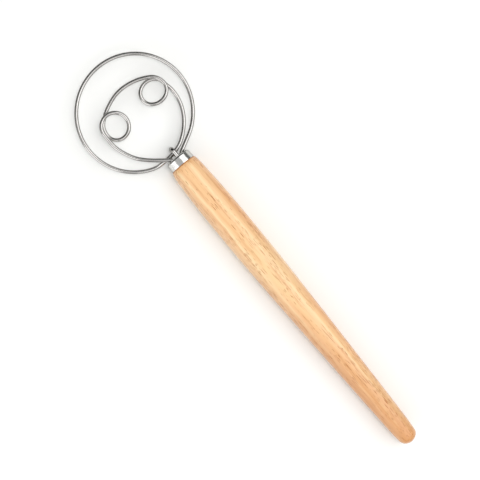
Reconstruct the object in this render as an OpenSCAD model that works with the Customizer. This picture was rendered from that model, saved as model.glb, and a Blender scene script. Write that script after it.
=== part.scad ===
// Dough whisk: a turned wooden handle with a metal ferrule, and a flat head bent
// from one wire. The wire makes an outer ring, comes back past the neck, and goes
// round again as an inner loop with two small eyes. A hairpin of the same wire
// holds the neck, and all four wire ends are potted in a bore in the handle.
// The handle lies along X with the head towards +X, and the head is flat in XY.

/* [Handle] */
// Length from the front of the ferrule to the tail
handle_l = 257.8; // [200:0.2:320]
// Diameter at the belly, the thickest place
belly_d = 24.4; // [22:0.2:30]
// Distance from the front of the ferrule to the middle of the belly
belly_s = 64; // [50:1:80]
// Length of the belly, where the handle is straight
belly_l = 24; // [16:1:30]
// Diameter of the wood where it meets the ferrule
shoulder_d = 19.4; // [19.4:0.1:20.4]
// Diameter of the wood where the rounded tail begins
tail_d = 13.7; // [12:0.1:16]
// Length of the rounded tail
tail_l = 5.6; // [4:0.2:10]

/* [Ferrule] */
// Length of the ferrule along the handle
ferrule_l = 6.8; // [5:0.2:14]
// Outer diameter of the ferrule at its rear edge
ferrule_d = 19.2; // [18.4:0.1:19.4]
// How much narrower the ferrule is at its front
ferrule_taper = 0.6; // [0:0.1:0.8]
// Thickness of its sheet metal
ferrule_wall = 0.9; // [0.5:0.1:1.2]
// Outer radius of the corner where the sheet turns in to the front lip
ferrule_corner_r = 1.6; // [1.3:0.1:2]
// Diameter of the mouth inside the front lip
mouth_d = 12.8; // [12.4:0.1:14]

/* [Wire] */
// Diameter of the wire
wire_d = 2.8; // [2.4:0.1:2.9]
// Clear gap between strands that cross
strand_gap = 0.5; // [0.45:0.05:0.8]
// Length of each wire end inside the handle
tang_l = 28; // [20:1:40]
// Diameter of the bore that holds the wire ends
bore_d = 12; // [11.6:0.1:12.4]

/* [Outer ring] */
// Diameter of the ring along the middle of the wire
ring_d = 82.4; // [81.4:0.2:88]
// How much the ring is out of round, as hand bending leaves it
ring_oval = 0.8; // [0:0.1:1.6]
// Distance from the front of the ferrule to the middle of the ring
ring_x = 42.9; // [42.4:0.1:44]
// How far the middle of the ring stands off the handle's axis
ring_y = 3.1; // [2:0.1:4]

/* [Inner loop] */
// Distance from the front of the ferrule to the far side of the inner loop
loop_x = 61.6; // [60:0.2:64]

/* [Eye on the -Y side] */
// Width along the handle, between the middles of the wire
eye_a_w = 17.2; // [16.4:0.2:18]
// Height across the handle, between the middles of the wire
eye_a_h = 19.2; // [18.6:0.2:19.8]
// Distance from the front of the ferrule to the middle of the eye
eye_a_x = 46; // [45.4:0.1:46.6]
// How far the middle of the eye stands off the handle's axis
eye_a_y = 16.6; // [16.2:0.1:17]

/* [Eye on the +Y side] */
// Width along the handle, between the middles of the wire
eye_b_w = 19.4; // [18.6:0.2:20]
// Height across the handle, between the middles of the wire
eye_b_h = 19.2; // [18.6:0.2:19.8]
// Distance from the front of the ferrule to the middle of the eye
eye_b_x = 44.1; // [43.5:0.1:44.7]
// How far the middle of the eye stands off the handle's axis
eye_b_y = 19.7; // [19.4:0.1:20.2]

/* [Hook] */
// Distance from the front of the ferrule to the middle of the hook's bend
hook_x = 4.2; // [4:0.1:4.6]

/* [Hidden] */

wire_r = wire_d / 2;
ring_r = ring_d / 2;
belly_r = belly_d / 2;
tail_s = handle_l - tail_l;
// Height between the middles of two strands that cross
layer = wire_d + strand_gap;
upper = layer / 2;
lower = -layer / 2;

// Handle: the tenon inside the ferrule, and the blind bore
fit_gap = 0.05;
tenon_r = ferrule_d / 2 - ferrule_taper - ferrule_wall - fit_gap;
tenon_front = ferrule_wall + fit_gap;
tenon_chamfer = 1;
bore_depth = tang_l + 4;
mouth_bevel = 0.6;

// Ferrule: bevel of its front lip
lip_bevel = ferrule_wall / 3;

// Potting: how far its face lies behind the front of the ferrule
potting_front = 2.6;

// Places of the four wire ends in the bore, as Y and Z off its axis
ring_end = [-3.4, 0];
loop_end = [3.8, upper];
hook_mid = [-0.35, -0.8];
hook_bend_r = wire_d + strand_gap;
hook_tilt = 9;
hook_ends = [for (side = [1, -1])
    hook_mid + side * hook_bend_r * [-sin(hook_tilt), cos(hook_tilt)]];

// The object's own frame: its origin is under the middle of its outline, on the
// surface that the belly of the handle lies on
reach = ring_x + ring_r + wire_r;
front_x = (handle_l - reach) / 2;
axis_y = -ring_y;
axis_z = belly_r;

// Largest distance between a bend and the straight steps that draw it
bend_error = 0.04;
wire_sides = 12;
rod_sides = 32;
bore_sides = 64;
turned_sides = 96;
// Least turn of an arc in degrees, and least bend between two headings, below
// which a line counts as straight
least_turn = 0.01;
least_bend = 0.000001;
// Places nearer to each other than this along the wire are one strand
strand_l = 14;

// Outlines and routes
// A station is [x, y, heading, z]. Two arcs that touch join each station to the
// next, so the line passes through each one at its heading.
function unit(angle) = [cos(angle), sin(angle)];
function left_of(v) = [-v.y, v.x];
function turned(v, angle) =
    [v.x * cos(angle) - v.y * sin(angle), v.x * sin(angle) + v.y * cos(angle)];

// Signed angle through which an arc turns that leaves from along t and spans v
function arc_turn(v, t) = 2 * atan2(left_of(t) * v, t * v);

// Points of the arc from p, which it leaves along t, to q, without q itself
function arc(p, t, q) =
    let (v = q - p, turn = arc_turn(v, t))
    abs(turn) < least_turn ? [p] :
    let (
        r = norm(v) / 2 / sin(turn / 2),
        centre = p + left_of(t) * r,
        step = 2 * acos(1 - min(bend_error / abs(r), 0.1)),
        steps = ceil(abs(turn) / step)
    )
    [for (i = [0 : steps - 1]) centre + turned(p - centre, turn * i / steps)];

// Where the two arcs between stations a and b meet
function meeting(a, b) =
    let (
        p = [a.x, a.y], q = [b.x, b.y],
        ta = unit(a[2]), tb = unit(b[2]),
        v = q - p, both = ta + tb,
        bend = 2 * (1 - ta * tb),
        side = bend < least_bend ? v * v / (4 * (v * tb)) :
            (sqrt(pow(v * both, 2) + bend * (v * v)) - v * both) / bend
    )
    (p + ta * side + q - tb * side) / 2;

function smooth(f) = f * f * (3 - 2 * f);

// Points of one stretch between two stations, rising smoothly from a's z to b's
function stretch(a, b) =
    let (
        m = meeting(a, b),
        first = arc([a.x, a.y], unit(a[2]), m),
        back = arc([b.x, b.y], -unit(b[2]), m),
        second = concat([m], [for (i = [len(back) - 1 : -1 : 1]) back[i]]),
        points = concat(first, second),
        count = len(points)
    )
    [for (i = [0 : count - 1])
        [points[i].x, points[i].y, a[3] + (b[3] - a[3]) * smooth(i / count)]];

function route(stations) = concat(
    [for (i = [0 : len(stations) - 2]) each stretch(stations[i], stations[i + 1])],
    [let (end = stations[len(stations) - 1]) [end.x, end.y, end[3]]]
);

// A quarter point of a ring or an eye, w wide and h high, wound anticlockwise
function on_eye(middle, w, h, angle, z) =
    [middle.x + w / 2 * cos(angle), middle.y + h / 2 * sin(angle), angle + 90, z];

eye_a = [eye_a_x, -eye_a_y];
eye_b = [eye_b_x, eye_b_y];

// Direction in which the ring is widest
ring_long = 123;
function on_ring(angle, z) =
    let (
        swing = 2 * (angle - ring_long),
        r = ring_r + ring_oval / 2 * cos(swing),
        growth = -ring_oval * sin(swing)
    )
    [ring_x + r * cos(angle), ring_y + r * sin(angle), angle + 90 - atan2(growth, r), z];

// The handle's outline from the ferrule to the tail, with its distance from the
// front of the ferrule as x and its radius as y
handle_stations = [
    [ferrule_l, shoulder_d / 2, 24, 0],
    // Shoulder
    [ferrule_l + 4.2, belly_r - 1.45, 5, 0],
    [ferrule_l + 13.2, belly_r - 0.9, 2.6, 0],
    // Belly, and the long taper behind it
    [belly_s - belly_l / 2, belly_r, 0, 0],
    [belly_s + belly_l / 2, belly_r, 0, 0],
    [belly_s + 56, belly_r - 0.75, -1.6, 0],
    [tail_s - 14, tail_d / 2 + 0.95, -2, 0],
    // Rounded tail
    [tail_s, tail_d / 2, -6, 0],
    [handle_l, 0, -90, 0]
];

// The head's wire from end to end. It leaves the bore on the -Y side.
head_stations = [
    [-tang_l, ring_end.x, 0, ring_end.y],
    [-1.4, ring_end.x, 0, ring_end.y],
    [1.2, -5.2, -61, 0],
    // Outer ring
    on_ring(208, 0),
    on_ring(300, 0),
    on_ring(30, 0),
    on_ring(120, 0),
    on_ring(160, lower / 2),
    // Neck, under the end of the inner loop and through the hook
    [3.3, 8.5, -92, lower],
    [hook_x, -0.9, -78, hook_mid.y],
    [7.4, -9.4, -58, hook_mid.y],
    [23.5, -24.2, -26, lower],
    [38, -27.4, 1, lower],
    // Eye on the -Y side: in below, once round, out above
    [46.5, -26.2, 8, lower],
    on_eye(eye_a, eye_a_w, eye_a_h, 0, lower * 0.8),
    on_eye(eye_a, eye_a_w, eye_a_h, 90, 0),
    on_eye(eye_a, eye_a_w, eye_a_h, 180, upper * 0.8),
    on_eye(eye_a, eye_a_w, eye_a_h, 270, upper),
    [55.2, -21.3, 57, upper],
    // Far side
    [loop_x, 0, 90, 0],
    [57, 16.8, 117, lower],
    // Eye on the +Y side: in below, once round, out above
    [51.5, 24.5, 132, lower],
    [42.8, 28, 180, lower],
    on_eye(eye_b, eye_b_w, eye_b_h, 180, lower / 3),
    on_eye(eye_b, eye_b_w, eye_b_h, 270, upper / 3),
    on_eye(eye_b, eye_b_w, eye_b_h, 0, upper),
    [44.5, 29.3, 178, upper],
    // Back to the ferrule, over the neck
    [29.3, 28.1, 198, upper],
    [14.2, 19.8, 223, upper],
    [3, 7, 232, upper],
    [-1.4, loop_end.x, 180, loop_end.y],
    [-tang_l, loop_end.x, 180, loop_end.y]
];

// One closed tube along a list of points
module tube(path, r, sides) {
    last = len(path) - 1;
    rings = [for (i = [0 : last])
        let (
            along = path[min(i + 1, last)] - path[max(i - 1, 0)],
            t = along / norm(along),
            across = cross(t, [0, 0, 1]),
            n = across / norm(across),
            b = cross(n, t)
        )
        for (k = [0 : sides - 1])
            path[i] + r * (n * cos(360 * k / sides) + b * sin(360 * k / sides))];
    walls = [for (i = [0 : last - 1], k = [0 : sides - 1])
        let (
            a = i * sides + k,
            b = i * sides + (k + 1) % sides
        )
        each [[a, b, a + sides], [b, b + sides, a + sides]]];
    start_cap = [for (k = [1 : sides - 2]) [0, k + 1, k]];
    end_cap = [for (k = [1 : sides - 2]) [for (corner = [0, k, k + 1]) last * sides + corner]];
    polyhedron(rings, concat(walls, start_cap, end_cap));
}

function lengths(path, i = 0, total = 0) = i == len(path) - 1 ? [total] :
    concat([total], lengths(path, i + 1, total + norm(path[i + 1] - path[i])));

// Least clear gap between two strands of one wire
function least_gap(path) =
    let (along = lengths(path), last = len(path) - 1)
    min([for (i = [0 : last], j = [i + 1 : 1 : last])
        if (along[j] - along[i] > strand_l) norm(path[j] - path[i])]) - wire_d;

// Sets a part drawn from the front of the ferrule, along X, into the object's frame
module in_place() {
    translate([front_x, axis_y, axis_z]) children();
}

// Turns an outline of [distance behind the ferrule's front, radius] about the handle
module turned_on_handle(outline) {
    rotate([0, -90, 0]) rotate_extrude($fn = turned_sides)
        polygon([for (p = outline) [p.y, p.x]]);
}

module handle() {
    tenon = [
        [bore_depth, 0],
        [bore_depth, bore_d / 2],
        [tenon_front + mouth_bevel, bore_d / 2],
        [tenon_front, bore_d / 2 + mouth_bevel],
        [tenon_front, tenon_r - tenon_chamfer],
        [tenon_front + tenon_chamfer, tenon_r],
        [ferrule_l, tenon_r]
    ];
    color([0.9, 0.72, 0.5]) in_place()
        turned_on_handle(concat(tenon, [for (p = route(handle_stations)) [p.x, max(p.y, 0)]]));
}

module ferrule() {
    rear_r = ferrule_d / 2;
    front_r = rear_r - ferrule_taper / 2;
    outside = route([
        [ferrule_l, rear_r, 180, 0],
        [ferrule_corner_r, front_r, 180, 0],
        [0, front_r - ferrule_corner_r, -90, 0]
    ]);
    inside = route([
        [ferrule_wall, front_r - ferrule_corner_r, 90, 0],
        [ferrule_corner_r, front_r - ferrule_wall, 0, 0],
        [ferrule_l, rear_r - ferrule_wall, 0, 0]
    ]);
    lip = [
        [0, mouth_d / 2 + lip_bevel],
        [lip_bevel, mouth_d / 2],
        [ferrule_wall, mouth_d / 2]
    ];
    color([0.78, 0.79, 0.8]) in_place()
        turned_on_handle(concat(outside, lip, inside));
}

module whisk_wire() {
    path = route(head_stations);
    echo(rings_on_wire = len(path), least_gap_on_wire = least_gap(path));
    color([0.72, 0.73, 0.74]) in_place() tube(path, wire_r, wire_sides);
}

module neck_hook() {
    color([0.66, 0.67, 0.69]) in_place()
        translate([0, hook_mid.x, hook_mid.y]) rotate([hook_tilt, 0, 0]) {
            for (side = [-1, 1])
                translate([-tang_l, 0, side * hook_bend_r]) rotate([0, 90, 0])
                    cylinder(r = wire_r, h = tang_l + hook_x, $fn = rod_sides);
            translate([hook_x, 0, 0]) rotate([90, 0, 0]) rotate([0, 0, -90])
                rotate_extrude(angle = 180, $fn = bore_sides)
                    translate([hook_bend_r, 0]) circle(r = wire_r, $fn = rod_sides);
        }
}

module potting() {
    color([0.55, 0.47, 0.36]) in_place() difference() {
        translate([-bore_depth, 0, 0]) rotate([0, 90, 0])
            cylinder(d = bore_d, h = bore_depth - potting_front, $fn = bore_sides);
        for (end = concat([ring_end, loop_end], hook_ends))
            translate([-tang_l, end.x, end.y]) rotate([0, 90, 0])
                cylinder(r = wire_r, h = tang_l, $fn = rod_sides);
    }
}

handle();
ferrule();
whisk_wire();
neck_hook();
potting();
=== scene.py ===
import math

import bpy
from mathutils import Matrix, Vector


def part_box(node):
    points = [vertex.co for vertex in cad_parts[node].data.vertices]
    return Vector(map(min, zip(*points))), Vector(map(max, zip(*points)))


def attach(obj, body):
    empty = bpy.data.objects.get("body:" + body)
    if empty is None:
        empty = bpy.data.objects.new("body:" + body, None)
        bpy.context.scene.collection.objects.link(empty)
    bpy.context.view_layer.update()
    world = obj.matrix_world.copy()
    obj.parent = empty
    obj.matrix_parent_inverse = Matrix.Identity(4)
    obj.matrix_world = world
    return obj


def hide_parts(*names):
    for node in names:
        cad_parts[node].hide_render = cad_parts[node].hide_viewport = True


# Dough whisk. Lengths are in metres and angles in degrees.
# The pieces are drawn from the front of the ferrule, on the handle's axis, with X towards the head.
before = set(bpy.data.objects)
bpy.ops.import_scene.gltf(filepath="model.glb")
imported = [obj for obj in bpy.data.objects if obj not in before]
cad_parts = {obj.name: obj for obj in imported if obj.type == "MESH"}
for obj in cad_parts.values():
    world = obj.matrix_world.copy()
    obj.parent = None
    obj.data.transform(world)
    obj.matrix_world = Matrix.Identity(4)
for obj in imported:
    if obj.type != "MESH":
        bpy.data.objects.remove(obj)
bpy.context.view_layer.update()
print("frame loaded:", ", ".join(sorted(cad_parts)))

ferruleLow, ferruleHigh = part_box("ferrule")
handleLow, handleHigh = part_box("handle")
front = Vector((ferruleHigh.x, (handleLow.y + handleHigh.y) / 2, (handleLow.z + handleHigh.z) / 2))
bellyRadius = (handleHigh.z - handleLow.z) / 2
tailEnd = handleLow.x - front.x     # negative, behind the ferrule


# Lines made of arcs, as the wire is bent: a station is (x, y, heading, height)
lineSteps = {
    "straightTurn": 0.0002,     # less turn than this is a straight line, in radians
    "sameHeading": 0.000001,
}


def direction(angle):
    return Vector((math.cos(math.radians(angle)), math.sin(math.radians(angle))))


def arcPoints(start, heading, end, spacing, turnStep):
    chord = end - start
    left = Vector((-heading.y, heading.x))
    turn = 2 * math.atan2(left.dot(chord), heading.dot(chord))
    if abs(turn) < lineSteps["straightTurn"]:
        count = math.ceil(chord.length / spacing)
        return [start.lerp(end, i / count) for i in range(count)]
    radius = chord.length / 2 / math.sin(turn / 2)
    centre = start + left * radius
    count = math.ceil(max(abs(turn * radius) / spacing, abs(math.degrees(turn)) / turnStep))
    return [centre + Matrix.Rotation(turn * i / count, 2) @ (start - centre) for i in range(count)]


def stretchPoints(a, b, spacing, turnStep):
    # two arcs that touch, each leaving its own station at its heading
    start, end = Vector(a[:2]), Vector(b[:2])
    leave, arrive = direction(a[2]), direction(b[2])
    chord, both = end - start, leave + arrive
    bend = 2 * (1 - leave.dot(arrive))
    if bend < lineSteps["sameHeading"]:
        side = chord.dot(chord) / (4 * chord.dot(arrive))
    else:
        along = chord.dot(both)
        side = (math.sqrt(along * along + bend * chord.dot(chord)) - along) / bend
    meeting = (start + leave * side + end - arrive * side) / 2
    first = arcPoints(start, leave, meeting, spacing, turnStep)
    second = arcPoints(end, -arrive, meeting, spacing, turnStep)
    flat = first + [meeting] + second[:0:-1]
    points = []
    for i, p in enumerate(flat):
        f = i / len(flat)
        height = a[3] + (b[3] - a[3]) * f * f * (3 - 2 * f)    # the wire rises smoothly
        points.append(Vector((p.x, p.y, height)))
    return points


def routePoints(stations, spacing, turnStep=4):
    points = []
    for a, b in zip(stations, stations[1:]):
        points += stretchPoints(a, b, spacing, turnStep)
    last = stations[-1]
    return points + [Vector((last[0], last[1], last[3]))]


# Small helpers for the pieces
def deselectAll():
    if bpy.context.mode != "OBJECT":
        bpy.ops.object.mode_set(mode="OBJECT")
    bpy.ops.object.select_all(action="DESELECT")


def onlySelect(piece):
    deselectAll()
    bpy.context.view_layer.objects.active = piece
    piece.select_set(True)


def polyCurve(name, points):
    curve = bpy.data.curves.new(name, "CURVE")
    curve.dimensions = "3D"
    spline = curve.splines.new("POLY")
    spline.points.add(len(points) - 1)
    for knot, p in zip(spline.points, points):
        knot.co = (*(front + p), 1)
    piece = bpy.data.objects.new(name, curve)
    bpy.context.collection.objects.link(piece)
    onlySelect(piece)
    return piece


def closeUp(piece, distance, smoothAngle):
    # seams and poles are merged before the normals are turned outwards
    onlySelect(piece)
    bpy.ops.object.mode_set(mode="EDIT")
    bpy.ops.mesh.select_all(action="SELECT")
    bpy.ops.mesh.remove_doubles(threshold=distance)
    bpy.ops.mesh.normals_make_consistent(inside=False)
    bpy.ops.object.mode_set(mode="OBJECT")
    bpy.ops.object.shade_smooth_by_angle(angle=math.radians(smoothAngle))


def settle(piece, slot, material, *nodes):
    piece.data.materials.clear()
    piece.data.materials.append(material)
    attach(piece, "root")
    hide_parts(*nodes)


# Node helpers
def colour(red, green, blue):
    # a colour as shown on screen, 0 to 255, made as the shader wants it
    shares = [value / 255 for value in (red, green, blue)]
    linear = [s / 12.92 if s < 0.04 else ((s + 0.055) / 1.055) ** 2.4 for s in shares]
    return (*linear, 1)


def addNode(tree, kind, inputs=None, **settings):
    node = tree.nodes.new(kind)
    for name, value in settings.items():
        setattr(node, name, value)
    for name, value in (inputs or {}).items():
        if isinstance(value, bpy.types.NodeSocket):
            tree.links.new(value, node.inputs[name])
        else:
            node.inputs[name].default_value = value
    return node


def maths(tree, operation, a, b=0.0):
    return addNode(tree, "ShaderNodeMath", {0: a, 1: b}, operation=operation).outputs[0]


def stretched(tree, vector, scale, place=(0, 0, 0)):
    # a pattern space: place moves it, scale gives its repeats in a metre
    settings = {"Vector": vector, "Location": place, "Scale": scale}
    return addNode(tree, "ShaderNodeMapping", settings).outputs[0]


def noise(tree, vector, detail=2, roughness=0.5):
    settings = {"Vector": vector, "Scale": 1, "Detail": detail, "Roughness": roughness}
    return addNode(tree, "ShaderNodeTexNoise", settings).outputs["Fac"]


def cellPattern(tree, vector):
    return addNode(tree, "ShaderNodeTexVoronoi", {"Vector": vector, "Scale": 1}).outputs


def ease(tree, value, low, high, to=(0.0, 1.0)):
    limits = {"Value": value, "From Min": low, "From Max": high, "To Min": to[0], "To Max": to[1]}
    return addNode(tree, "ShaderNodeMapRange", limits, interpolation_type="SMOOTHSTEP").outputs[0]


def blend(tree, factor, a, b):
    node = addNode(tree, "ShaderNodeMix", data_type="RGBA")
    for name, value in (("Factor_Float", factor), ("A_Color", a), ("B_Color", b)):
        socket = next(s for s in node.inputs if s.identifier == name)
        if isinstance(value, bpy.types.NodeSocket):
            tree.links.new(value, socket)
        else:
            socket.default_value = value
    return next(s for s in node.outputs if s.identifier == "Result_Color")


def tint(tree, value, mark, under, over):
    # one colour laid over another: a mark is where it begins, where it is full, and how strong it gets
    low, high, strength = mark
    return blend(tree, ease(tree, value, low, high, (0, strength)), under, over)


def roughen(tree, rough, value, mark):
    low, high, strength = mark
    return maths(tree, "ADD", rough, ease(tree, value, low, high, (0, strength)))


def spread(tree, value, amount, middle):
    # a pattern made a number that lies about a middle
    return maths(tree, "ADD", maths(tree, "MULTIPLY", value, amount), middle - amount / 2)


def fromFront(tree):
    # the piece's own place, measured from the front of the ferrule
    place = addNode(tree, "ShaderNodeTexCoord").outputs["Object"]
    return stretched(tree, place, (1, 1, 1), tuple(-front))


def roughSkin(tree, shader, height, look):
    limits = {"Strength": look["bump"], "Distance": look["bumpDepth"], "Height": height}
    tree.links.new(addNode(tree, "ShaderNodeBump", limits).outputs[0], shader.inputs["Normal"])


def newMaterial(name, values):
    material = bpy.data.materials.new(name)
    material.use_nodes = True
    shader = material.node_tree.nodes["Principled BSDF"]
    for socket, value in values.items():
        shader.inputs[socket].default_value = value
    return material, material.node_tree, shader


# Wood of the handle: pale, with soft bands along it and short open pores
# A pattern's size is its repeats in a metre, along the handle and across it.
woodLook = {
    "cream": colour(243, 209, 158),
    "tan": colour(240, 195, 144),
    "honey": colour(236, 187, 135),
    "orange": colour(230, 173, 118),
    "brown": colour(205, 142, 86),
    "pore": colour(172, 96, 24),

    # layers of the tree: bands from one side of the handle to the other
    "bands": (
        (0.04, "tan"), (0.13, "orange"), (0.24, "orange"), (0.34, "tan"), (0.41, "tan"), (0.48, "cream"),
        (0.56, "tan"), (0.72, "tan"), (0.8, "honey"), (0.87, "cream"), (0.93, "honey"), (0.99, "tan"),
    ),
    "reach": 0.0128,            # the outermost ones, from the axis
    "lean": 0.35,               # how far they lean from upright
    "drift": -0.008,            # how far they run off the handle's axis
    "wander": 0.005,            # how far they wander
    "wanderSize": (9, 60, 60),
    "wanderPlace": (0.3, 0, 0),
    "paleAt": -0.102,           # the wood is palest here
    "pale": (0.045, 0, 0.6),    # by distance from there
    "slant": 7,                 # the tail end is warmer and darker, slantwise
    "warm": (0.115, 0.25, 0.95),
    "warmDepth": 0.72,          # from orange to brown

    # grain
    "wave": 0.0016,             # how far it waves to and fro
    "waveSize": (42, 30, 30),
    "streakSize": (16, 480, 480),
    "darkStreak": (0.52, 0.7, 0.5),
    "paleStreak": (0.46, 0.28, 0.3),
    "fibreSize": (45, 2600, 2600),
    "fibre": (0.52, 0.75, 0.2),
    "fibreHeight": 0.15,        # next to a pore's depth of 1

    # the front drank more oil; the tail's rounded end gets painted shade, and a painted shadow lies along
    # the edge at the ferrule
    "oiledFront": (-0.013, -0.008, 0.3),
    "paintedShadeAtTail": (tailEnd + 0.003, tailEnd + 0.0006, 0.5),
    "paintedShadowAtFerrule": (-0.0078, -0.007, 0.75),

    # finish
    "roughness": 0.42,
    "streakRoughness": 0.16,
    "poreRoughness": 0.4,
    "oil": 0.8,                 # a coat over the wood
    "oilRoughness": 0.2,
    "shine": 0.3,               # of the wood itself
    "bump": 0.5,
    "bumpDepth": 0.00015,
}

# Pores by kind: sizes of the cells and of the groups, width in the cell, and share kept in a group
poreKinds = (
    {"cells": (190, 2600, 2600), "width": 0.38, "groups": (26, 110, 110), "share": 0.5},
    {"cells": (110, 1650, 1650), "width": 0.41, "groups": (30, 130, 130), "share": 0.8},
    {"cells": (34, 1600, 1600), "width": 0.32, "groups": (14, 100, 100), "share": 0.85},
)
poreLook = {
    "place": (0.43, 0.01, 0.03),
    "groupEdge": (0.47, 0.62),
    "strays": 0.02,             # share kept outside the groups
    "faintest": 0.4,
    "core": 0.55,               # the part of a pore that is fully dark
}


def layerColours(tree, grain, look):
    # bands across the handle, out of tilted layers
    axes = addNode(tree, "ShaderNodeSeparateXYZ", {0: grain}).outputs
    wander = noise(tree, stretched(tree, grain, look["wanderSize"], look["wanderPlace"]))
    wander = maths(tree, "MULTIPLY", maths(tree, "SUBTRACT", wander, 0.5), look["wander"] * 2)
    side = maths(tree, "ADD", axes["Y"], wander)
    across = maths(tree, "ADD", side, maths(tree, "MULTIPLY", axes["Z"], look["lean"]))
    across = maths(tree, "ADD", across, maths(tree, "MULTIPLY", axes["X"], look["drift"]))
    limits = {"Value": across, "From Min": -look["reach"], "From Max": look["reach"]}
    across = addNode(tree, "ShaderNodeMapRange", limits).outputs[0]
    ramp = addNode(tree, "ShaderNodeValToRGB", {"Fac": across})
    stops = ramp.color_ramp
    stops.interpolation = "EASE"
    bands = look["bands"]
    for stop, (where, name) in zip(stops.elements, (bands[0], bands[-1])):
        stop.position, stop.color = where, look[name]
    for where, name in bands[1:-1]:
        stops.elements.new(where).color = look[name]

    # the pale middle and the warm tail
    away = maths(tree, "ABSOLUTE", maths(tree, "SUBTRACT", axes["X"], look["paleAt"]))
    shaded = tint(tree, away, look["pale"], ramp.outputs["Color"], look["cream"])
    back = maths(tree, "SUBTRACT", maths(tree, "MULTIPLY", side, look["slant"]), axes["X"])
    warmer = blend(tree, look["warmDepth"], look["orange"], look["brown"])
    return tint(tree, back, look["warm"], shaded, warmer)


def poreDashes(tree, grain, kind, look):
    # lens-shaped dashes, one to a stretched cell, and only some of them kept
    cells = cellPattern(tree, stretched(tree, grain, kind["cells"]))
    chance = addNode(tree, "ShaderNodeSeparateColor", {0: cells["Color"]}).outputs
    crowd = noise(tree, stretched(tree, grain, kind["groups"], look["place"]), detail=1)
    share = ease(tree, crowd, *look["groupEdge"], (look["strays"], kind["share"]))
    kept = maths(tree, "LESS_THAN", chance[0], share)
    depth = maths(tree, "MULTIPLY", chance[1], 1 - look["faintest"])
    depth = maths(tree, "ADD", depth, look["faintest"])
    dash = ease(tree, cells["Distance"], kind["width"], kind["width"] * look["core"])
    return maths(tree, "MULTIPLY", maths(tree, "MULTIPLY", dash, kept), depth)


def woodMaterial(look):
    material, tree, shader = newMaterial("turnedWood", {
        "Coat Weight": look["oil"],
        "Coat Roughness": look["oilRoughness"],
        "Specular IOR Level": look["shine"],
    })
    place = fromFront(tree)
    wave = noise(tree, stretched(tree, place, look["waveSize"]), detail=1)
    lift = maths(tree, "MULTIPLY", maths(tree, "SUBTRACT", wave, 0.5), look["wave"])
    lift = addNode(tree, "ShaderNodeCombineXYZ", {"Y": lift, "Z": lift}).outputs[0]
    grain = addNode(tree, "ShaderNodeVectorMath", {0: place, 1: lift}, operation="ADD").outputs[0]
    streak = noise(tree, stretched(tree, grain, look["streakSize"]), detail=3, roughness=0.6)
    fibre = noise(tree, stretched(tree, grain, look["fibreSize"]))
    fine, short, long = (poreDashes(tree, grain, kind, poreLook) for kind in poreKinds)
    pores = maths(tree, "MAXIMUM", maths(tree, "MAXIMUM", fine, short), long)
    along = addNode(tree, "ShaderNodeSeparateXYZ", {0: place}).outputs["X"]

    shaded = layerColours(tree, grain, look)
    shaded = tint(tree, streak, look["darkStreak"], shaded, look["brown"])
    shaded = tint(tree, streak, look["paleStreak"], shaded, look["cream"])
    shaded = tint(tree, fibre, look["fibre"], shaded, look["brown"])
    shaded = blend(tree, pores, shaded, look["pore"])
    shaded = tint(tree, along, look["oiledFront"], shaded, look["orange"])
    # painted shade round the tail's rounded end
    shaded = tint(tree, along, look["paintedShadeAtTail"], shaded, look["brown"])
    # painted shadow in the gap where the wood meets the ferrule
    shaded = tint(tree, along, look["paintedShadowAtFerrule"], shaded, look["pore"])
    tree.links.new(shaded, shader.inputs["Base Color"])

    height = maths(tree, "SUBTRACT", maths(tree, "MULTIPLY", fibre, look["fibreHeight"]), pores)
    roughSkin(tree, shader, height, look)
    rough = spread(tree, streak, look["streakRoughness"], look["roughness"])
    rough = maths(tree, "ADD", rough, maths(tree, "MULTIPLY", pores, look["poreRoughness"]))
    tree.links.new(rough, shader.inputs["Roughness"])
    return material


# Bright drawn wire: fine lines along it, on the wire's own UV map, which is in metres
wireLook = {
    "steel": colour(202, 200, 197),
    "stain": colour(186, 184, 181),
    "edge": colour(110, 110, 110),      # how the steel reflects at a low angle
    "lines": (60, 9000, 1),             # repeats in a metre, along the wire and round it
    "patches": (90, 350, 1),
    "stained": (0.45, 0.7, 1),
    "dulled": (0.5, 0.75, 0.08),
    "roughness": 0.15,
    "lineRoughness": 0.12,
    "bump": 0.25,
    "bumpDepth": 0.00002,
}


def wireMaterial(look):
    material, tree, shader = newMaterial("drawnWire", {"Metallic": 1, "Specular Tint": look["edge"]})
    along = addNode(tree, "ShaderNodeUVMap", uv_map="UVMap").outputs[0]
    lines = noise(tree, stretched(tree, along, look["lines"]), detail=3, roughness=0.65)
    patches = noise(tree, stretched(tree, along, look["patches"]), detail=3)
    shaded = tint(tree, patches, look["stained"], look["steel"], look["stain"])
    tree.links.new(shaded, shader.inputs["Base Color"])
    rough = spread(tree, lines, look["lineRoughness"], look["roughness"])
    tree.links.new(roughen(tree, rough, patches, look["dulled"]), shader.inputs["Roughness"])
    roughSkin(tree, shader, lines, look)
    return material


# Polished sheet of the ferrule: faint lines round it from turning, and a few light scuffs
ferruleLook = {
    "steel": colour(216, 215, 212),
    "scuff": colour(200, 199, 196),
    "edge": colour(185, 185, 185),
    "rings": (5200, 18, 18),            # repeats in a metre, along the axis and across it
    "scuffs": (300, 500, 500),
    "scuffed": (0.5, 0.72, 0.5),
    "dulled": (0.5, 0.75, 0.1),
    "roughness": 0.15,
    "ringRoughness": 0.1,
    "bump": 0.2,
    "bumpDepth": 0.00002,
}


def ferruleMaterial(look):
    material, tree, shader = newMaterial("polishedFerrule", {"Metallic": 1, "Specular Tint": look["edge"]})
    place = fromFront(tree)
    rings = noise(tree, stretched(tree, place, look["rings"]))
    scuffs = noise(tree, stretched(tree, place, look["scuffs"]), detail=4, roughness=0.7)
    shaded = tint(tree, scuffs, look["scuffed"], look["steel"], look["scuff"])
    tree.links.new(shaded, shader.inputs["Base Color"])
    rough = spread(tree, rings, look["ringRoughness"], look["roughness"])
    tree.links.new(roughen(tree, rough, scuffs, look["dulled"]), shader.inputs["Roughness"])
    roughSkin(tree, shader, rings, look)
    return material


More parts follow.
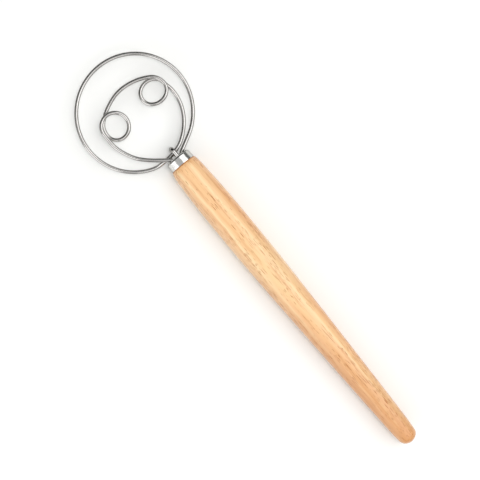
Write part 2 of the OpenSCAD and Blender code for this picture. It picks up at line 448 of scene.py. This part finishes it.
# Cast resin: amber, with small bubbles under a slightly uneven skin
resinLook = {
    "amber": colour(142, 104, 62),
    "dark": colour(96, 66, 38),
    "skin": 0.4,                        # a coat over the resin
    "skinRoughness": 0.1,
    "shine": 0.5,
    "clouds": (260, 260, 260),          # repeats in a metre
    "clouded": (0.35, 0.65, 1),
    "cells": (900, 900, 900),
    "bubble": (0.12, 0.28),             # a bubble's middle and its rim
    "cloudHeight": 1.5,
    "roughness": 0.25,
    "cloudRoughness": 0.2,
    "bump": 0.4,
    "bumpDepth": 0.00008,
}


def resinMaterial(look):
    material, tree, shader = newMaterial("castResin", {
        "Coat Weight": look["skin"],
        "Coat Roughness": look["skinRoughness"],
        "Specular IOR Level": look["shine"],
    })
    place = addNode(tree, "ShaderNodeTexCoord").outputs["Object"]
    cloud = noise(tree, stretched(tree, place, look["clouds"]), detail=3)
    cells = cellPattern(tree, stretched(tree, place, look["cells"]))
    bubbles = ease(tree, cells["Distance"], *look["bubble"])
    shaded = tint(tree, cloud, look["clouded"], look["dark"], look["amber"])
    tree.links.new(shaded, shader.inputs["Base Color"])
    rough = spread(tree, cloud, look["cloudRoughness"], look["roughness"])
    tree.links.new(rough, shader.inputs["Roughness"])
    height = maths(tree, "ADD", bubbles, maths(tree, "MULTIPLY", cloud, look["cloudHeight"]))
    roughSkin(tree, shader, height, look)
    return material


wood = woodMaterial(woodLook)
wireSteel = wireMaterial(wireLook)
ferruleSteel = ferruleMaterial(ferruleLook)
resin = resinMaterial(resinLook)
print("materials ready")


# Turned pieces: an outline of (distance behind the front, radius) is spun round the handle's axis
turning = {
    "steps": 128,
    "merge": 0.00001,
    "smoothAngle": 40,
}


def turnPiece(name, outline):
    piece = polyCurve(name, [Vector((-p[0], 0, max(p[1], 0))) for p in outline])
    bpy.ops.object.convert(target="MESH")
    bpy.ops.object.mode_set(mode="EDIT")
    bpy.ops.mesh.select_all(action="SELECT")
    bpy.ops.mesh.spin(steps=turning["steps"], angle=2 * math.pi, center=front, axis=(1, 0, 0))
    closeUp(piece, turning["merge"], turning["smoothAngle"])
    return piece


# The handle
handleSizes = {
    "ferruleLength": 0.0068,
    "shoulderRadius": 0.0097,
    "tailRadius": 0.00685,
    "tailLength": 0.0056,
    "bellyMiddle": 0.064,       # behind the front of the ferrule
    "bellyLength": 0.024,
    "tenonFront": 0.00095,
    "tenonRadius": 0.00805,
    "tenonBevel": 0.001,
    "boreRadius": 0.006,
    "boreDepth": 0.032,
    "mouthBevel": 0.0006,
    "spacing": 0.004,
}


def makeHandle(sizes):
    tailStart = -tailEnd - sizes["tailLength"]
    collar = sizes["ferruleLength"]
    belly = sizes["bellyMiddle"]
    halfBelly = sizes["bellyLength"] / 2
    bore, tenon, tip = sizes["boreRadius"], sizes["tenonRadius"], sizes["tenonFront"]
    outline = [
        (sizes["boreDepth"], 0),
        (sizes["boreDepth"], bore),
        (tip + sizes["mouthBevel"], bore),
        (tip, bore + sizes["mouthBevel"]),
        (tip, tenon - sizes["tenonBevel"]),
        (tip + sizes["tenonBevel"], tenon),
        (collar, tenon),
    ]
    outside = [
        (collar, sizes["shoulderRadius"], 24, 0),
        (collar + 0.0042, bellyRadius - 0.00145, 5, 0),
        (collar + 0.0132, bellyRadius - 0.0009, 2.6, 0),
        (belly - halfBelly, bellyRadius, 0, 0),
        (belly + halfBelly, bellyRadius, 0, 0),
        (belly + 0.056, bellyRadius - 0.00075, -1.6, 0),
        (tailStart - 0.014, sizes["tailRadius"] + 0.00095, -2, 0),
        (tailStart, sizes["tailRadius"], -6, 0),
        (-tailEnd, 0, -90, 0),
    ]
    return turnPiece("turnedHandle", outline + routePoints(outside, sizes["spacing"]))


handle = makeHandle(handleSizes)
settle(handle, "wood", wood, "handle")
print("handle turned:", len(handle.data.polygons), "faces")


# The ferrule
ferruleSizes = {
    "frontRadius": 0.0093,      # where the corner begins
    "wall": 0.0009,
    "corner": 0.0016,
    "mouthRadius": 0.0064,
    "lipBevel": 0.0003,
    "rimBevel": 0.00018,
    "spacing": 0.001,
}


def makeFerrule(sizes):
    length = ferruleHigh.x - ferruleLow.x
    rear = (ferruleHigh.z - ferruleLow.z) / 2
    wall, corner, rim = sizes["wall"], sizes["corner"], sizes["rimBevel"]
    face = sizes["frontRadius"] - corner
    outside = routePoints([
        (length - rim, rear, 180, 0),
        (corner, sizes["frontRadius"], 180, 0),
        (0, face, -90, 0),
        (0, sizes["mouthRadius"] + sizes["lipBevel"], -90, 0),
        (sizes["lipBevel"], sizes["mouthRadius"], 0, 0),
    ], sizes["spacing"])
    inside = routePoints([
        (wall, face, 90, 0),
        (corner, sizes["frontRadius"] - wall, 0, 0),
        (length, rear - wall, 0, 0),
    ], sizes["spacing"])
    lip, back = [(wall, sizes["mouthRadius"])], [(length, rear - rim), (length - rim, rear)]
    return turnPiece("ferruleSleeve", outside + lip + inside + back)


ferrule = makeFerrule(ferruleSizes)
settle(ferrule, "ferrule_steel", ferruleSteel, "ferrule")
print("ferrule turned:", len(ferrule.data.polygons), "faces")


# The head: one wire from the -Y side of the bore round to its +Y side
wireSizes = {
    "radius": 0.0014,
    "layer": 0.00286,           # between the middles of two strands that cross and touch
    "tang": 0.028,              # length of each end inside the handle
    "spacing": 0.0006,
    "sides": 24,
}
ringSizes = {
    "x": 0.0429,
    "y": 0.0031,
    "radius": 0.0412,
    "oval": 0.0008,
    "longWay": 123,             # direction in which it is widest
}
eyeA = {"x": 0.046, "y": -0.0166, "width": 0.0172, "height": 0.0192}
eyeB = {"x": 0.0441, "y": 0.0197, "width": 0.0194, "height": 0.0192}
hookSizes = {
    "x": 0.0042,
    "y": -0.00035,
    "z": -0.0008,
    "bendRadius": 0.00305,
    "tilt": 9,
}


def ringStation(angle, height):
    swing = math.radians(2 * (angle - ringSizes["longWay"]))
    radius = ringSizes["radius"] + ringSizes["oval"] / 2 * math.cos(swing)
    growth = -ringSizes["oval"] * math.sin(swing)
    out = direction(angle) * radius
    heading = angle + 90 - math.degrees(math.atan2(growth, radius))
    return (ringSizes["x"] + out.x, ringSizes["y"] + out.y, heading, height)


def eyeStation(eye, angle, height):
    out = direction(angle)
    return (eye["x"] + eye["width"] / 2 * out.x, eye["y"] + eye["height"] / 2 * out.y, angle + 90, height)


def headStations(wire, hook):
    up, down = wire["layer"] / 2, -wire["layer"] / 2
    hookY, hookZ = hook["y"], hook["z"]
    return [
        (-wire["tang"], -0.0034, 0, 0),
        (-0.0014, -0.0034, 0, 0),
        (0.0012, -0.0052, -61, 0),
        ringStation(208, 0),
        ringStation(300, 0),
        ringStation(30, 0),
        ringStation(120, 0),
        ringStation(160, down / 2),
        (0.0033, 0.0085, -92, down),            # neck, through the hook
        (hook["x"], hookY - 0.00055, -78, hookZ),
        (0.0074, -0.0094, -58, hookZ),
        (0.0235, -0.0242, -26, down),
        (0.038, -0.0274, 1, down),
        (0.0465, -0.0262, 8, down),             # first eye
        eyeStation(eyeA, 0, down * 0.8),
        eyeStation(eyeA, 90, 0),
        eyeStation(eyeA, 180, up * 0.8),
        eyeStation(eyeA, 270, up),
        (0.0552, -0.0213, 57, up),
        (0.0616, 0, 90, 0),                     # far side of the inner loop
        (0.057, 0.0168, 117, down),
        (0.0515, 0.0245, 132, down),            # second eye
        (0.0428, 0.028, 180, down),
        eyeStation(eyeB, 180, down / 3),
        eyeStation(eyeB, 270, up / 3),
        eyeStation(eyeB, 0, up),
        (0.0445, 0.0293, 178, up),
        (0.0293, 0.0281, 198, up),              # back over the neck
        (0.0142, 0.0198, 223, up),
        (0.003, 0.007, 232, up),
        (-0.0014, 0.0038, 180, up),
        (-wire["tang"], 0.0038, 180, up),
    ]


def makeWire(name, points, wire):
    piece = polyCurve(name, points)
    piece.data.bevel_depth = wire["radius"]
    piece.data.bevel_resolution = wire["sides"] // 2 - 2
    piece.data.twist_mode = "Z_UP"
    piece.data.use_fill_caps = True
    bpy.ops.object.convert(target="MESH")
    length = sum((b - a).length for a, b in zip(points, points[1:]))
    girth = 2 * math.pi * wire["radius"]
    for corner in piece.data.uv_layers["UVMap"].data:      # metres along the wire and round it
        corner.uv = (corner.uv.x * length, corner.uv.y * girth)
    closeUp(piece, turning["merge"], turning["smoothAngle"])
    return piece


headPoints = routePoints(headStations(wireSizes, hookSizes), wireSizes["spacing"])
headWire = makeWire("headWire", headPoints, wireSizes)
settle(headWire, "wire_steel", wireSteel, "whisk_wire")
print("head bent:", len(headWire.data.polygons), "faces")


def makeHook(hook, wire):
    # a hairpin that stands nearly upright: two legs and a half turn round the strand at the neck
    radius = hook["bendRadius"]
    flat = routePoints([
        (-wire["tang"], -radius, 0, 0),
        (hook["x"], -radius, 0, 0),
        (hook["x"] + radius, 0, 90, 0),
        (hook["x"], radius, 180, 0),
        (-wire["tang"], radius, 180, 0),
    ], wire["spacing"])
    tilt = Matrix.Rotation(math.radians(90 + hook["tilt"]), 3, "X")
    middle = Vector((0, hook["y"], hook["z"]))
    return makeWire("neckHook", [tilt @ p + middle for p in flat], wire)


neckHook = makeHook(hookSizes, wireSizes)
settle(neckHook, "wire_steel", wireSteel, "neck_hook")
print("hook bent:", len(neckHook.data.polygons), "faces")

# The resin in the bore stays as it was built
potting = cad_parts["potting"]
potting.data.materials.clear()
potting.data.materials.append(resin)


# Camera: straight above, turned so that the whisk lies as it was laid down
cameraSizes = {
    "over": (0.0135, -0.0001),
    "height": 0.98,             # above the middle of the handle
    "angle": 19.45,
    "turn": -129.6,
    "farthest": 50,
}


def makeCamera(sizes):
    bpy.ops.object.camera_add(location=(*sizes["over"], front.z + sizes["height"]),
                              rotation=(0, 0, math.radians(sizes["turn"])))
    camera = bpy.context.object
    camera.name = "viewCamera"
    camera.data.sensor_fit = "HORIZONTAL"
    camera.data.angle = math.radians(sizes["angle"])
    camera.data.clip_end = sizes["farthest"]
    bpy.context.scene.camera = camera


# Floor and room: the dark wall gives the metal its dark lines
studio = {
    "floorSize": 12,
    "floorGrey": (0.89, 0.892, 0.874),
    "floorGlow": 0.04,
    "floorTruth": 0.88,         # how pale the floor is to the light that bounces off it
    "floorPolish": 0.06,
    "polishIndex": 1.5,
    "ceiling": 0.6,
    "wall": 0.17,
    "wallTop": (0.26, 0.68),    # where the dark wall gives way to the ceiling, as the sine of the angle
    "headEnd": 0.02,            # the dark end of the room, beyond the head
    "headEndFrom": (0.4, 0.64),
}

# Soft lights, at an azimuth and an angle from straight above
softLights = {
    "keyLight": {"azimuth": 250, "fromTop": 35, "distance": 1.4, "size": (1.9, 1.32), "glow": 1.4},
    "fillLight": {"azimuth": 94, "fromTop": 63, "distance": 1.4, "size": (1.13, 1.34), "glow": 1.4},
    "sideLight": {"azimuth": 158, "fromTop": 42, "distance": 1.4, "size": (0.7, 1.13), "glow": 0.8},
    "topLight": {"azimuth": 240, "fromTop": 7, "distance": 1.6, "size": (0.4, 0.4), "glow": 13},
}
notMirrored = ("topLight",)     # it sharpens the shadows, and the metal doesn't show it


def makeFloor(sizes):
    deselectAll()
    bpy.ops.mesh.primitive_plane_add(size=sizes["floorSize"], location=(0, 0, 0))
    floor = bpy.context.object
    floor.name = "floor"
    material = bpy.data.materials.new("paleFloor")
    material.use_nodes = True
    tree = material.node_tree
    tree.nodes.clear()
    rays = addNode(tree, "ShaderNodeLightPath").outputs
    seen = maths(tree, "MAXIMUM", rays["Is Camera Ray"], rays["Is Glossy Ray"])
    seen = maths(tree, "MAXIMUM", seen, rays["Is Transmission Ray"])
    white = (1, 1, 1, 1)
    plain = addNode(tree, "ShaderNodeBsdfDiffuse", {"Color": (*[sizes["floorTruth"]] * 3, 1)})
    gloss = addNode(tree, "ShaderNodeBsdfGlossy", {"Color": white, "Roughness": sizes["floorPolish"]})
    edge = addNode(tree, "ShaderNodeFresnel", {"IOR": sizes["polishIndex"]})
    edge = maths(tree, "MULTIPLY", edge.outputs[0], rays["Is Glossy Ray"])     # only metal sees the polish
    shade = addNode(tree, "ShaderNodeBsdfDiffuse", {"Color": (*sizes["floorGrey"], 1)})
    glow = addNode(tree, "ShaderNodeEmission", {"Color": white, "Strength": sizes["floorGlow"]})
    pale = addNode(tree, "ShaderNodeAddShader", {0: shade.outputs[0], 1: glow.outputs[0]})
    both = addNode(tree, "ShaderNodeMixShader", {0: seen, 1: plain.outputs[0], 2: pale.outputs[0]})
    both = addNode(tree, "ShaderNodeMixShader", {0: edge, 1: both.outputs[0], 2: gloss.outputs[0]})
    below = addNode(tree, "ShaderNodeNewGeometry").outputs["Backfacing"]       # clear from below
    clear = addNode(tree, "ShaderNodeBsdfTransparent")
    both = addNode(tree, "ShaderNodeMixShader", {0: below, 1: both.outputs[0], 2: clear.outputs[0]})
    addNode(tree, "ShaderNodeOutputMaterial", {"Surface": both.outputs[0]})
    floor.data.materials.append(material)


def makeRoom(sizes):
    world = bpy.data.worlds.new("room")
    bpy.context.scene.world = world
    world.use_nodes = True
    tree = world.node_tree
    tree.nodes.clear()
    way = addNode(tree, "ShaderNodeTexCoord").outputs["Generated"]
    axes = addNode(tree, "ShaderNodeSeparateXYZ", {0: way}).outputs
    grey = ease(tree, axes["Z"], *sizes["wallTop"], (sizes["wall"], sizes["ceiling"]))
    dark = ease(tree, axes["X"], *sizes["headEndFrom"])
    ends = {"Factor": dark, "A": grey, "B": sizes["headEnd"]}
    grey = addNode(tree, "ShaderNodeMix", ends, data_type="FLOAT")
    light = addNode(tree, "ShaderNodeBackground", {"Color": grey.outputs[0], "Strength": 1})
    addNode(tree, "ShaderNodeOutputWorld", {"Surface": light.outputs[0]})


def makeLight(name, sizes):
    around, down = math.radians(sizes["azimuth"]), math.radians(sizes["fromTop"])
    aim = Vector((math.cos(around) * math.sin(down), math.sin(around) * math.sin(down), math.cos(down)))
    bpy.ops.object.light_add(type="AREA", location=aim * sizes["distance"])
    light = bpy.context.object
    light.name = name
    light.rotation_euler = (-aim).to_track_quat("-Z", "Y").to_euler()
    light.data.shape = "RECTANGLE"
    light.data.size, light.data.size_y = sizes["size"]
    light.data.energy = sizes["glow"] * math.pi * sizes["size"][0] * sizes["size"][1]
    light.visible_glossy = name not in notMirrored


makeFloor(studio)
makeRoom(studio)
for name, sizes in softLights.items():
    makeLight(name, sizes)
makeCamera(cameraSizes)
bpy.context.scene.view_settings.view_transform = "Standard"
print("studio set")
